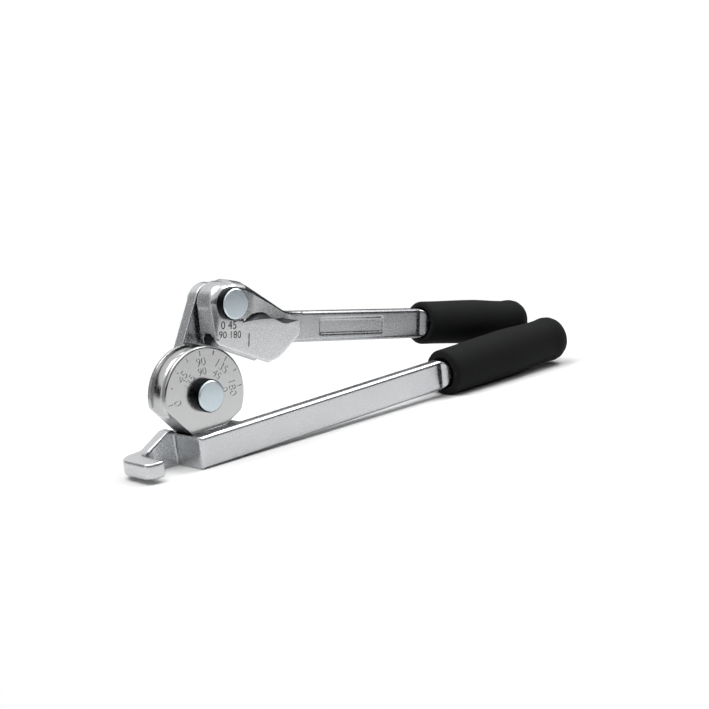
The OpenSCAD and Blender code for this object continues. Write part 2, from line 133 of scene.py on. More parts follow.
# %% Helpers for finishes
def colour(code):
    """Linear colour of a hex code in sRGB."""
    shares = [int(code[i:i + 2], 16) / 255 for i in (1, 3, 5)]
    linear = [s / 12.92 if s <= 0.04045 else ((s + 0.055) / 1.055) ** 2.4 for s in shares]
    return (*linear, 1.0)


def per_mm(size):
    """Scale of a pattern whose marks are that many millimetres apart."""
    return 1 / (size * MM)


def add(tree, kind, inputs, **settings):
    """Adds a node. An input is a constant, or the output of another node."""
    node = tree.nodes.new(kind)
    for name, value in settings.items():
        setattr(node, name, value)
    for socket, value in inputs.items():
        if isinstance(value, bpy.types.NodeSocket):
            tree.links.new(value, node.inputs[socket])
        else:
            node.inputs[socket].default_value = value
    return node


def new_finish(name):
    """An empty material with its node tree and the Object coordinates that its patterns read."""
    material = bpy.data.materials.new(name)
    material.use_nodes = True
    tree = material.node_tree
    tree.nodes.clear()
    place = add(tree, "ShaderNodeTexCoord", {}).outputs["Object"]
    return material, tree, place


# Numbers of the sockets by which a Mix node takes and gives colours
MIX_A, MIX_B, MIX_OUT = 6, 7, 2


def end_metal(tree, tone, roughness, bump):
    """Ends a finish as a metal with the colour of a Mix node and the normal of a Bump node."""
    shader = add(tree, "ShaderNodeBsdfPrincipled", {"Base Color": tone.outputs[MIX_OUT], "Metallic": 1.0,
                                                    "Roughness": roughness,
                                                    "Normal": bump.outputs["Normal"]})
    add(tree, "ShaderNodeOutputMaterial", {"Surface": shader.outputs["BSDF"]})


# %% [markdown]
# ### Satin plated forging
#
# The handles, the link and the shoe are drop forged steel, tumbled and then plated. The tumbling leaves
# the forging scale as a soft orange peel, and the plating is bright over it, so that reflections are
# broken up without being dull. Two noises make the peel and a finer grain, and a third one, as wide as a
# thumb, lets the plating drift a little between warm and cool grey. A face that is ground flat before the
# plating has no peel, and its brighter tone is painted light. Photographs of plate could be used instead,
# but they would have to be unwrapped onto each piece, and noise on Object coordinates needs no unwrapping.

# %% Satin plate
PEEL_MM = 2.2
GRAIN_MM = 0.55
DRIFT_MM = 18
PEEL_DEPTH = 0.035 * MM
GRAIN_DEPTH = 0.008 * MM
FORGED_BUMP = 0.6
FINE_BUMP = 0.5
NOISE_LOW, NOISE_HIGH = 0.3, 0.7
SATIN_GLOSSY, SATIN_DULL = 0.22, 0.34
# Lighter tone of the ground face, which is painted light
GROUND_LIT_TONE = "#D0D1D2"
EVEN = 0.5


def satin_plate(name, dark, light, ground=None):
    """Finish of a forging. Ground adds the nodes for the share of a place that is ground flat and painted
    light.
    """
    material, tree, place = new_finish(name)
    peel = add(tree, "ShaderNodeTexNoise", {"Vector": place, "Scale": per_mm(PEEL_MM), "Detail": 1.5})
    grain = add(tree, "ShaderNodeTexNoise", {"Vector": place, "Scale": per_mm(GRAIN_MM), "Detail": 2.0})
    drift = add(tree, "ShaderNodeTexNoise", {"Vector": place, "Scale": per_mm(DRIFT_MM), "Detail": 2.0})
    tone = add(tree, "ShaderNodeMix", {"Factor": drift.outputs["Fac"], MIX_A: colour(dark),
                                       MIX_B: colour(light)}, data_type="RGBA")
    height = peel.outputs["Fac"]
    if ground:
        share = ground(tree, place)
        tone = add(tree, "ShaderNodeMix", {"Factor": share, MIX_A: tone.outputs[MIX_OUT],
                                           MIX_B: colour(GROUND_LIT_TONE)}, data_type="RGBA")
        height = add(tree, "ShaderNodeMix", {"Factor": share, "A": height, "B": EVEN}).outputs["Result"]
    gloss = add(tree, "ShaderNodeMapRange", {"Value": grain.outputs["Fac"], "From Min": NOISE_LOW,
                                             "From Max": NOISE_HIGH, "To Min": SATIN_GLOSSY,
                                             "To Max": SATIN_DULL})
    rough = add(tree, "ShaderNodeBump", {"Height": grain.outputs["Fac"], "Strength": FORGED_BUMP,
                                         "Distance": GRAIN_DEPTH})
    bump = add(tree, "ShaderNodeBump", {"Height": height, "Strength": FORGED_BUMP,
                                        "Distance": PEEL_DEPTH, "Normal": rough.outputs["Normal"]})
    end_metal(tree, tone, gloss.outputs["Result"], bump)
    return material


# %% [markdown]
# ### Plated wheel
#
# The wheel is turned and ground before it is plated, so it is brighter than the forgings. The cutter
# leaves rings round the axis. Real ones are a tenth of a millimetre apart, too fine for the picture, so
# they are drawn as shallow waves some twenty-five times as broad. A wave texture makes them: it turns by
# twenty radians over a length of one, and its scale is worked out from that.

# %% Wheel plate
RING_MM = 2.547
RING_DEPTH = 0.004 * MM
RING_WOBBLE = 0.4
WAVE_TURN = 20
WAVE_LENGTH = 2 * math.pi / WAVE_TURN
GROUND_MM = 0.8
WHEEL_GLOSSY, WHEEL_DULL = 0.16, 0.27


def wheel_plate():
    """Finish of the wheel, with its rings round the axis of the link."""
    material, tree, place = new_finish("ground_and_plated_wheel")
    centre = add(tree, "ShaderNodeMapping", {"Vector": place, "Location": -wheel_axis})
    rings = add(tree, "ShaderNodeTexWave", {"Vector": centre.outputs["Vector"], "Distortion": RING_WOBBLE,
                                            "Scale": WAVE_LENGTH * per_mm(RING_MM)},
                wave_type="RINGS", rings_direction="Y")
    ground = add(tree, "ShaderNodeTexNoise", {"Vector": place, "Scale": per_mm(GROUND_MM), "Detail": 3.0})
    tone = add(tree, "ShaderNodeMix", {"Factor": ground.outputs["Fac"], MIX_A: colour("#B0B1B2"),
                                       MIX_B: colour("#C2C2C2")}, data_type="RGBA")
    gloss = add(tree, "ShaderNodeMapRange", {"Value": ground.outputs["Fac"], "From Min": NOISE_LOW,
                                             "From Max": NOISE_HIGH, "To Min": WHEEL_GLOSSY,
                                             "To Max": WHEEL_DULL})
    bump = add(tree, "ShaderNodeBump", {"Height": rings.outputs["Fac"], "Strength": FINE_BUMP,
                                        "Distance": RING_DEPTH})
    grit = add(tree, "ShaderNodeBump", {"Height": ground.outputs["Fac"], "Strength": FINE_BUMP,
                                        "Distance": GRAIN_DEPTH, "Normal": bump.outputs["Normal"]})
    end_metal(tree, tone, gloss.outputs["Result"], grit)
    return material


# %% [markdown]
# ### Plain metals
#
# The small metal pieces differ only in colour and gloss: blue passivated zinc on the faced ends of the
# pins, a black oxide skin on their sides, spring steel, and bronze that is painted nearly black as shade
# between the pieces. Painted shade in deep corners is another plain metal, dark and dull. One function
# makes them all, with a mottled tone and a fine grain, from two hex values and a range of roughness.

# %% Plain metals
MOTTLE_MM = 2.5


def fine_grain(tree, place):
    """Bump of the grain that stays on small pieces and in corners."""
    grain = add(tree, "ShaderNodeTexNoise", {"Vector": place, "Scale": per_mm(GRAIN_MM), "Detail": 2.0})
    return add(tree, "ShaderNodeBump", {"Height": grain.outputs["Fac"], "Strength": FINE_BUMP,
                                        "Distance": GRAIN_DEPTH})


def plain_metal(name, dark, light, roughness):
    """Finish of a small metal piece, mottled between two tones and two roughnesses."""
    material, tree, place = new_finish(name)
    mottle = add(tree, "ShaderNodeTexNoise", {"Vector": place, "Scale": per_mm(MOTTLE_MM), "Detail": 4.0})
    tone = add(tree, "ShaderNodeMix", {"Factor": mottle.outputs["Fac"], MIX_A: colour(dark),
                                       MIX_B: colour(light)}, data_type="RGBA")
    gloss = add(tree, "ShaderNodeMapRange", {"Value": mottle.outputs["Fac"], "From Min": NOISE_LOW,
                                             "From Max": NOISE_HIGH, "To Min": roughness[0],
                                             "To Max": roughness[1]})
    end_metal(tree, tone, gloss.outputs["Result"], fine_grain(tree, place))
    return material


# %% [markdown]
# ### Fading painted shade
#
# In some corners a painted shade turns to plain plate within a few millimetres. The place along one
# direction, measured by a dot product, mixes the two tones. Painted vertex colours would do the same, but
# they would be as coarse as the mesh.

# %% Fading painted shade
# Tone of the painted shade in corners, and of the plain plate that it fades to
PAINTED_SHADE_TONE, PLAIN_TONE = "#26282B", "#BFC0C2"
FADING_ROUGHNESS = 0.34


def fading_plate(name, way, start, end):
    """Plate that is painted dark as shade up to a start, and plain from an end on, both measured along a
    way.
    """
    material, tree, place = new_finish(name)
    along = add(tree, "ShaderNodeVectorMath", {0: place, 1: way}, operation="DOT_PRODUCT")
    out_of_painted_shade = add(tree, "ShaderNodeMapRange", {"Value": along.outputs["Value"], "From Min": start,
                                            "From Max": end})
    tone = add(tree, "ShaderNodeMix", {"Factor": out_of_painted_shade.outputs["Result"], MIX_A: colour(PAINTED_SHADE_TONE),
                                       MIX_B: colour(PLAIN_TONE)}, data_type="RGBA")
    end_metal(tree, tone, FADING_ROUGHNESS, fine_grain(tree, place))
    return material


# %% [markdown]
# ### Foam grip
#
# The grips are moulded nitrile foam with a closed skin. The skin is nearly black and dull, and the cells
# under it make a fine pitting that catches a little light at the edge. Real cells are a quarter of a
# millimetre across and are drawn twice as coarse, so that they show.

# %% Foam
CELL_MM = 0.5
CELL_DEPTH = 0.10 * MM
CELL_BUMP = 0.7
SKIN_MM = 7
SKIN_ROUGHNESS = 0.78


def foam_skin():
    """Finish of the grips."""
    material, tree, place = new_finish("black_nitrile_foam")
    cells = add(tree, "ShaderNodeTexNoise", {"Vector": place, "Scale": per_mm(CELL_MM), "Detail": 3.0})
    patch = add(tree, "ShaderNodeTexNoise", {"Vector": place, "Scale": per_mm(SKIN_MM), "Detail": 3.0})
    tone = add(tree, "ShaderNodeMix", {"Factor": patch.outputs["Fac"], MIX_A: colour("#0A0B0C"),
                                       MIX_B: colour("#111213")}, data_type="RGBA")
    bump = add(tree, "ShaderNodeBump", {"Height": cells.outputs["Fac"], "Strength": CELL_BUMP,
                                        "Distance": CELL_DEPTH})
    shader = add(tree, "ShaderNodeBsdfPrincipled", {"Base Color": tone.outputs[MIX_OUT],
                                                    "Roughness": SKIN_ROUGHNESS,
                                                    "Specular IOR Level": 0.15, "Sheen Weight": 0.03,
                                                    "Sheen Roughness": 0.5,
                                                    "Normal": bump.outputs["Normal"]})
    add(tree, "ShaderNodeOutputMaterial", {"Surface": shader.outputs["BSDF"]})
    return material


# %% [markdown]
# ### The tool's finishes
#
# Each finish is made once and shared by all pieces that have it, so that one edit changes them together.

# %% Make the finishes
plate = satin_plate("satin_plated_forging", "#B9BBBE", "#C6C7C8")
wheel_finish = wheel_plate()
foam = foam_skin()
# Two tones of each plain metal, and its least and greatest roughness
zinc = plain_metal("blue_passivated_zinc", "#BFCBD2", "#D3DDE2", (0.34, 0.46))
oxide = plain_metal("black_oxide_steel", "#0A0B0C", "#15161A", (0.30, 0.42))
spring = plain_metal("blued_spring_steel", "#3E4045", "#56585C", (0.26, 0.38))
# Bronze painted nearly black, as shade between the pieces where it sits
bronze = plain_metal("bronze_darkened_as_painted_shade", "#1F1A13", "#30281C", (0.4, 0.55))
# Dark, dull plate that is painted shade, in the hollow above the shoe and in its stamps
painted_shade_plate = plain_metal("painted_shade_of_the_hollow_and_stamps", PAINTED_SHADE_TONE, "#3A3C40", (0.34, 0.46))
print("finishes:", [material.name for material in bpy.data.materials if material.use_nodes])

# %% [markdown]
# ## From mesh to piece
#
# Each new piece is a bmesh that becomes an object at the origin, as the frame's own nodes are. It rides on
# a body and takes the place of a node of the frame, which is hidden. Edges sharper than a given angle stay
# crisp, and all other faces are shaded smooth.

# %% Helpers for pieces
CRISP = math.radians(38)
FORGED_CRISP = math.radians(42)
ALL_SMOOTH = math.pi
WELD = 0.001 * MM


def piece(name, mesh, body, node, slot, *finishes, crisp=CRISP):
    """Object of a mesh, with its finishes, on its body and in place of its node."""
    obj = placed(name, mesh)
    for finish in finishes:
        mesh.materials.append(finish)
    mesh.shade_smooth()
    mesh.set_sharp_from_angle(angle=crisp)
    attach(obj, body)
    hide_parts(node)
    mesh.calc_loop_triangles()
    print(name, "has", len(mesh.loop_triangles), "triangles")
    return obj


def to_mesh(name, bm):
    """Mesh of a closed bmesh, with its doubles merged and its faces turned outwards."""
    bmesh.ops.remove_doubles(bm, verts=bm.verts, dist=WELD)
    bmesh.ops.recalc_face_normals(bm, faces=bm.faces)
    mesh = bpy.data.meshes.new(name)
    bm.to_mesh(mesh)
    bm.free()
    return mesh


def settled(name, mesh, kind, **settings):
    """The mesh after one modifier."""
    obj = placed(name, mesh)
    modifier = obj.modifiers.new(kind.lower(), kind)
    for setting, value in settings.items():
        setattr(modifier, setting, value)
    graph = bpy.context.evaluated_depsgraph_get()
    result = bpy.data.meshes.new_from_object(obj.evaluated_get(graph))
    bpy.data.objects.remove(obj)
    return result


# %% [markdown]
# ## Forged pieces
#
# A forging has no sharp edges: steel that is pressed into a die fills every corner with a radius, and
# tumbling rounds it further. Beveling the frame's edges one by one would fail where many faces meet, so a
# copy of each node is merged and remeshed with voxels of less than half a millimetre, and then smoothed a
# few times. Flat faces stay where they are, and every edge gets a radius of half a millimetre or more.

# %% Remesh a forging
SMOOTH_SHARE = 0.5


def soften(mesh, rounds, before=math.inf):
    """Smooth the points of a mesh whose X in mm is less than a given one."""
    bm = bmesh.new()
    bm.from_mesh(mesh)
    chosen = [vert for vert in bm.verts if vert.co.x < before * MM]
    for _ in range(rounds):
        bmesh.ops.smooth_vert(bm, verts=chosen, factor=SMOOTH_SHARE, use_axis_x=True, use_axis_y=True,
                              use_axis_z=True)
    bm.to_mesh(mesh)
    bm.free()


def forged(node, voxel_mm, rounds):
    """Mesh of a node with its edges rounded."""
    bm = bmesh.new()
    bm.from_mesh(nodes[node].data)
    mesh = to_mesh(node + "_merged", bm)
    mesh = settled(node + "_voxels", mesh, "REMESH", mode="VOXEL", voxel_size=voxel_mm * MM)
    soften(mesh, rounds)
    return mesh


# %% [markdown]
# ## Flared ends of the bars
#
# Each bar is upset where it goes into its grip, so that the foam can't creep up the bar: a shallow nick,
# and then a flare. By hand it would be a few loop cuts, scaled. On a remeshed surface it is easier to move
# the points near the end by a smooth step of their place along the bar.

# %% Flare a bar's end
FLARE = 1.7
FLARE_LEN = 7.0
FLARE_NICK = 0.25
FLARE_NICK_LEN = 3.0


def blend(x, start, end):
    """0 before start, 1 after end, and a smooth step between them."""
    share = min(max((x - start) / (end - start), 0), 1)
    return share * share * (3 - 2 * share)


def flare_end(along, depth, end, middle, half_t):
    """Depth of a point near the end of a bar: a shallow nick, and then a flare on both faces."""
    start = end - FLARE_LEN
    nick = blend(along, start - FLARE_NICK_LEN, start) * (1 - blend(along, start, start + FLARE_NICK_LEN))
    swell = FLARE * blend(along, start, end) - FLARE_NICK * nick
    return middle + (depth - middle) * (1 + swell / half_t)


# %% [markdown]
# ## Stamped marks
#
# The dial on the wheel and the marks on the shoe are stamped with steel punches. They are real hollows
# here too: plain numerals and ticks are made solid, to be cut out of the finished surface. A bump texture
# would be lighter, but it would leave the mesh itself without the marks.

# %% Stamps
STAMP_DEPTH = 0.5
TICK_W = 0.6
CURVE_STEPS = 4

facing_front = Matrix.Rotation(math.pi / 2, 4, "X")


def numerals(words, size):
    """Mesh of solid numerals, centred on the origin in the XY plane."""
    line = bpy.data.curves.new("numerals", "FONT")
    line.body = words
    line.size = size * MM
    line.extrude = STAMP_DEPTH * MM
    line.align_x = "CENTER"
    line.align_y = "CENTER"
    line.resolution_u = CURVE_STEPS
    holder = placed("numerals", line)
    graph = bpy.context.evaluated_depsgraph_get()
    mesh = bpy.data.meshes.new_from_object(holder.evaluated_get(graph))
    bpy.data.objects.remove(holder)
    return mesh


def stamp_numerals(bm, words, size, matrix):
    """Add the punch for some numerals to a bmesh."""
    mesh = numerals(words, size)
    mesh.transform(matrix)
    bm.from_mesh(mesh)


def stamp_tick(bm, length, matrix):
    """Add the punch for a tick to a bmesh."""
    shape = Matrix.Diagonal((TICK_W * MM, length * MM, 2 * STAMP_DEPTH * MM, 1))
    bmesh.ops.create_cube(bm, size=1, matrix=matrix @ shape)


# %% [markdown]
# ## Cutting and joining
#
# Stamps are cut out of a piece, and a hollow is fitted to one, with the Boolean modifier. Its exact solver
# copes with faces that lie almost on each other, but it leaves slivers there. So each result is welded,
# its many-sided faces are split, and crumbs and flaps that hang on no ordinary edge are dropped. What they
# leave open is filled.

# %% Cut and join
CRUMB_FACES = 100
QUAD = 4


def island(face):
    """All faces that hang together with a face, over edges of two faces each."""
    found, open_faces = {face}, [face]
    while open_faces:
        for edge in open_faces.pop().edges:
            fresh = [other for other in edge.link_faces if other not in found and edge.is_manifold]
            found.update(fresh)
            open_faces.extend(fresh)
    return found


def clean(mesh):
    """Weld the slivers that a cut leaves along its edge, drop crumbs and flaps, and close the mesh."""
    bm = bmesh.new()
    bm.from_mesh(mesh)
    bmesh.ops.remove_doubles(bm, verts=bm.verts, dist=WELD)
    bmesh.ops.dissolve_degenerate(bm, edges=bm.edges, dist=WELD)
    bmesh.ops.triangulate(bm, faces=[face for face in bm.faces if len(face.verts) > QUAD])
    seen, loose = set(), set()
    for face in bm.faces:
        if face not in seen:
            found = island(face)
            seen |= found
            if len(found) < CRUMB_FACES:
                loose |= found
    bmesh.ops.delete(bm, geom=[face for face in bm.faces if face in loose], context="FACES")
    bmesh.ops.holes_fill(bm, edges=[edge for edge in bm.edges if edge.is_boundary], sides=0)
    bm.to_mesh(mesh)
    bm.free()


def combined(name, mesh, bm, operation):
    """The mesh with the solids of a bmesh cut out of it or joined to it."""
    other = placed(name + "_other", to_mesh(name + "_other", bm))
    for finish in mesh.materials:
        other.data.materials.append(finish)
    result = settled(name, mesh, "BOOLEAN", object=other, operation=operation, solver="EXACT")
    bpy.data.objects.remove(other)
    clean(result)
    return result


# %% [markdown]
# ## Fixed handle and link
#
# The fixed handle carries the wheel on its head block and ends in the hook. The hook slides along tubes
# and hands, so it is dressed rounder than the rest, the more so towards its finger. The far end of the bar
# flares into the grip. The link is a plain bar with round ends.

# %% Fixed handle and link
BAR_SINK = 3.0
TANG_R = 3.5
BAR_HALF_T = 3.7
BAR_REACH = 155.7
BAR_MID = -11.2125
HANDLE_VOXEL, HANDLE_ROUNDS = 0.42, 5
LINK_VOXEL, LINK_ROUNDS = 0.40, 4
# Each pair smooths the hook further: up to which X in mm, and for how many rounds
HOOK_ROUNDS = ((-20.0, 12), (-26.0, 10), (-31.0, 12))

handle_mesh = forged("fixed_handle", HANDLE_VOXEL, HANDLE_ROUNDS)
for before, rounds in HOOK_ROUNDS:
    soften(handle_mesh, rounds, before)
for vert in handle_mesh.vertices:
    along, depth, _ = vert.co / MM
    if BAR_REACH / 2 < along < BAR_REACH + BAR_SINK and abs(depth - BAR_MID) > TANG_R:
        vert.co.y = flare_end(along, depth, BAR_REACH + BAR_SINK, BAR_MID, BAR_HALF_T) * MM
piece("forged_fixed_handle", handle_mesh, "fixed_handle", "fixed_handle", "satin_plate", plate,
      crisp=ALL_SMOOTH)
link_mesh = forged("link_plate", LINK_VOXEL, LINK_ROUNDS)
piece("forged_link", link_mesh, "link", "link_plate", "satin_plate", plate, crisp=ALL_SMOOTH)

# %% [markdown]
# ## Shoe handle
#
# The head, the shoe, the web and the bar are one forging. Its finer forms are made on the remeshed copy:
# first the sweep and the rim, then the hollow above the shoe, and last the marks. They need the main lines
# of the CAD part, which are given here in the lever's own directions: along the bar, in depth, and square
# to both.

# %% The shoe handle's own lines
LEVER_SLOPE = math.radians(11.0)
LEVER_REACH = 151.4
LEVER_DROP = 14.1
LEVER_MID = 16.0875
LEVER_HALF_T = 4.5
HEAD_R = 10.6
SHOE_FRONT = -6.9875
SHOE_REACH = 45.9
NOSE_LEN = 13.7
WEB_START, WEB_REACH = 12.72, 54.0
WEB_LEAN = (LEVER_MID - LEVER_HALF_T - SHOE_FRONT) / (WEB_REACH - WEB_START)
SHOE_TOP = -8.4
NOSE_DIP = 2.0
NOSE_ROUND = 1.1
NOSE_START = SHOE_REACH - NOSE_LEN
# Corners of the top of the head and the web, of the shoe's upper edge, and of the head's side by the lip,
# as places along the bar and square to it
CREST = ((-2.65, 9.7), (2.65, 11.5), (10.0, 10.6), (48.42, -5.9))
SHOE_EDGE = ((WEB_START, SHOE_TOP), (NOSE_START - NOSE_DIP, SHOE_TOP),
             (NOSE_START + NOSE_DIP, SHOE_TOP - NOSE_DIP), (SHOE_REACH - NOSE_ROUND, SHOE_TOP - NOSE_ROUND))
LEAD = Vector((-7.563, -18.006))
# Largest power of a soft ramp, which keeps its exponential within bounds
TOP_POWER = 50

on_lever = Matrix.Translation(shoe_axis) @ Matrix.Rotation(LEVER_SLOPE, 4, "Y")
from_lever = on_lever.inverted()
side = Vector((LEAD.y, -(LEAD.x + HEAD_R))).normalized()
lever_end = LEVER_REACH + BAR_SINK


def follow(corners, x):
    """Height at x of the line through some corners."""
    for (x0, y0), (x1, y1) in zip(corners, corners[1:]):
        if x <= x1:
            return y0 + (y1 - y0) * max(x - x0, 0) / (x1 - x0)
    return corners[-1][1]


def soft_ramp(x, width):
    """0 well before zero, x well past it, and a curve of that width between."""
    return width * math.log(1 + math.exp(min(x / width, TOP_POWER)))


def between(ends, share):
    """Value at a share of the way from one end to the other."""
    return ends[0] + (ends[1] - ends[0]) * share


# %% [markdown]
# ### Sweep and rim
#
# The web leaves the head in a sweep instead of a kink. The rim of the head and the top of the web are
# dressed by hand to one broad round, which climbs from the front face to the crest at the back. A bevel
# can't follow that edge on a remeshed surface, so each point near it is moved onto the round instead.

# %% Sweep of the web
SWEEP_START, SWEEP_END = 3.0, 2.0
WEB_SKIN = 6.0


def swept_front(along):
    """Depth of the web's front face without kinks."""
    return SHOE_FRONT + WEB_LEAN * (soft_ramp(along - WEB_START, SWEEP_START)
                                    - soft_ramp(along - WEB_REACH, SWEEP_END))


def sweep(along, depth):
    """Depth of a point by the web's front face after its two kinks are swept, and of the face itself."""
    kinked = SHOE_FRONT + WEB_LEAN * (min(max(along, WEB_START), WEB_REACH) - WEB_START)
    swept = swept_front(along)
    return depth + (swept - kinked) * (1 - blend(depth - kinked, 0, WEB_SKIN)), swept


# %% Rim of the head
RIM_HEIGHT = (4.2, 1.5)
RIM_DEPTH = (9.7, 1.5)
SIDE_ROUND = (4.2, 1.5)
RIM_RUN = (8.0, 50.0)


def rim(along, rise):
    """Distance inside the side view's outline, the way out, and the height and depth of its front round."""
    point = Vector((along, rise))
    if along > 0:
        share = blend(along, *RIM_RUN)
        high, deep = between(RIM_HEIGHT, share), between(RIM_DEPTH, share)
        return follow(CREST, along) - rise, Vector((0, 1)), high, deep
    if rise > 0:
        depth = between((SIDE_ROUND[0], RIM_DEPTH[0]), blend(along, -HEAD_R, 0))
        return HEAD_R - point.length, point.normalized(), SIDE_ROUND[0], depth
    size = between(SIDE_ROUND, blend(-rise, 0, -LEAD.y))
    return -(point - Vector((-HEAD_R, 0))).dot(side), side, size, size


# %% Dress the shoe handle
SHOE_VOXEL, SHOE_ROUNDS = 0.42, 3
DRESSED_REACH = 62.0
KNEE_SOFT = 0.8
BORE_R = 8.0


def dress(along, depth, rise):
    """The place on the finished forging of a point of the remeshed one."""
    if along > DRESSED_REACH:
        flared = along < lever_end and abs(depth - LEVER_MID) > TANG_R
        return along, flare_end(along, depth, lever_end, LEVER_MID, LEVER_HALF_T) if flared else depth, rise
    # The shoe stands in front of the web, and its face stays flat
    if along < SHOE_REACH and rise < follow(SHOE_EDGE, along):
        front = SHOE_FRONT
    else:
        depth, front = sweep(along, depth)
    inside, way, high, deep = rim(along, rise)
    (x0, y0), (x1, y1) = CREST[-2:]
    knee = (y0 - y1) * (x1 - along) / (x1 - x0)
    rise += (soft_ramp(knee, KNEE_SOFT) - max(knee, 0)) * (1 - blend(inside, 0, WEB_SKIN))
    # Place in the quarter of the round, as shares of its height and depth
    p, q = 1 - inside / high, 1 - (depth - front) / deep
    scale = math.hypot(p, q)
    filled = along > 0 and math.hypot(along, rise) > BORE_R
    if rise > LEAD.y and min(p, q) > 0 and (scale > 1 or filled):
        along += way.x * high * (p / scale - p)
        rise += way.y * high * (p / scale - p)
        depth = front + deep * (1 - q / scale)
    return along, depth, rise


shoe_mesh = forged("shoe_handle", SHOE_VOXEL, SHOE_ROUNDS)
for vert in shoe_mesh.vertices:
    vert.co = on_lever @ (Vector(dress(*((from_lever @ vert.co) / MM))) * MM)
print("dressed", len(shoe_mesh.vertices), "points of the shoe handle")

# %% [markdown]
# ## Hollow above the shoe
#
# The shoe's face is ground, so its top edge is the one sharp edge of this forging. From there a hollow
# round runs back to the web, wide by the pin and narrow by the nose. A remeshed corner can't be this sharp.
# So the hollow is built as two solids with the same round: one joins the metal behind the round to the
# forging, and the other cuts away what stands before it.

# %% Round of the hollow
HOLLOW_EDGE = ((7.6, -9.9), (9.8, -9.4), (14.6, -8.7), (19.4, -8.15), (24.3, -7.9), (27.3, -8.0),
               (29.8, -8.8), (32.3, -9.85), (34.3, -10.45), (36.5, -10.7), (39.2, -10.1), (43.0, -9.3),
               (44.6, -9.2))
HOLLOW_HEIGHTS = ((7.6, 0.04), (14.6, 3.4), (20.0, 3.4), (24.0, 3.0), (30.0, 2.2), (36.0, 1.5), (44.6, 0.4))
HOLLOW_SLOPE = 0.25
HOLLOW_KNEE = (0.5, 0.8)
HOLLOW_STEPS = 10
PROUD = 0.004
HOLLOW_FACE = SHOE_FRONT - PROUD


def hollow_round(along):
    """Points of the round at one place, as (depth, rise), from the web down to the edge."""
    front, edge, high = swept_front(along), follow(HOLLOW_EDGE, along), follow(HOLLOW_HEIGHTS, along)
    room = front - HOLLOW_FACE
    knee = min(max(HOLLOW_SLOPE * room, HOLLOW_KNEE[0] * high), HOLLOW_KNEE[1] * high)
    shares = [step / HOLLOW_STEPS for step in range(HOLLOW_STEPS + 1)]
    return [(front - room * t ** 2, edge + high * (1 - t) ** 2 + knee * 2 * t * (1 - t)) for t in shares]


# %% Outlines of the two solids
FILL_KEY = 2.2
HAIR = 0.02
EDGE_STRIP = 0.12


def metal_behind(points):
    """Outline of the metal behind a round, down into the shoe and back into the web."""
    (front, top), (_, edge) = points[0], points[-1]
    back, foot = front + FILL_KEY, edge - FILL_KEY
    return points + [(HOLLOW_FACE, edge - EDGE_STRIP), (HOLLOW_FACE, foot), (back, foot), (back, top)]


def space_before(points):
    """Outline of the space before a round, out past the shoe's face."""
    points = [(depth + HAIR, rise - HAIR) for depth, rise in points]
    (_, top), (_, edge) = points[0], points[-1]
    return points + [(SHOE_FRONT - FILL_KEY, edge), (SHOE_FRONT - FILL_KEY, top)]


# %% [markdown]
# ### Loft of the hollow
#
# Each solid goes through its outline at many places along the shoe. Its faces are made one by one: bridging
# the loops would pair nearest points, which crowd where the hollow starts, and could twist there. The round
# itself gets the dark plate that is painted shade, and the first strips by the web keep the plain one.

# %% Loft through the outlines
HOLLOW_PLACES = 74
DARK_FROM = 1
PAINTED_SHADE_INDEX = 1


def lofted(bm, outline):
    """Add to a bmesh the solid through the outlines at all places of the hollow."""
    start, end = HOLLOW_EDGE[0][0], HOLLOW_EDGE[-1][0]
    places = [between((start, end), place / HOLLOW_PLACES) for place in range(HOLLOW_PLACES + 1)]
    rings = []
    for along in places:
        points = [Vector((along, depth, rise)) * MM for depth, rise in outline(hollow_round(along))]
        rings.append([bm.verts.new(on_lever @ point) for point in points])
    for ring, after in zip(rings, rings[1:]):
        for corner in range(len(ring)):
            face = bm.faces.new((ring[corner - 1], ring[corner], after[corner], after[corner - 1]))
            # The round takes the dark plate that is painted shade
            face.material_index = PAINTED_SHADE_INDEX if DARK_FROM < corner <= HOLLOW_STEPS else 0
    bm.faces.new(rings[0])
    bm.faces.new(rings[-1])


# %% [markdown]
# ### Ground face of the shoe
#
# The front of the shoe is ground flat, so that the tube's mark can be read against it. Only this face is
# without peel, and its lighter tone is painted light; the rest of this forging is painted darker than the
# other forgings as painted shade. Its place in depth and in height, both with a short fade, tells the
# finish where it is, so that no face of the remeshed forging has to be picked out.

# %% Ground face
GROUND_FADE = (0.35, 0.10)
GROUND_DEPTH = [SHOE_FRONT + depth for depth in GROUND_FADE]
GROUND_RISE = (-8.0, -11.0)
DEPTH_AXIS, RISE_AXIS = 1, 2


def on_ground_face(tree, place):
    """1 on the shoe's front face and 0 on the rest of the forging."""
    shares = []
    for axis, reach in ((DEPTH_AXIS, GROUND_DEPTH), (RISE_AXIS, GROUND_RISE)):
        way = on_lever.to_3x3().col[axis]
        start, end = [on_lever.translation.dot(way) + length * MM for length in reach]
        along = add(tree, "ShaderNodeVectorMath", {0: place, 1: way}, operation="DOT_PRODUCT")
        inside = add(tree, "ShaderNodeMapRange", {"Value": along.outputs["Value"], "From Min": start,
                                                  "From Max": end})
        shares.append(inside.outputs["Result"])
    return add(tree, "ShaderNodeMath", dict(enumerate(shares)), operation="MULTIPLY").outputs[0]


# The shoe handle's plate is a darker copy of the forgings' plate, painted shade, and its ground face is
# painted light
shoe_plate_painted_light_and_shade = satin_plate("satin_plate_of_shoe_handle_painted_light_and_shade", "#B2B4B7", "#BFC0C1", ground=on_ground_face)
print("finish with a ground face:", shoe_plate_painted_light_and_shade.name)

# %% Fill and hollow
shoe_mesh.materials.append(shoe_plate_painted_light_and_shade)
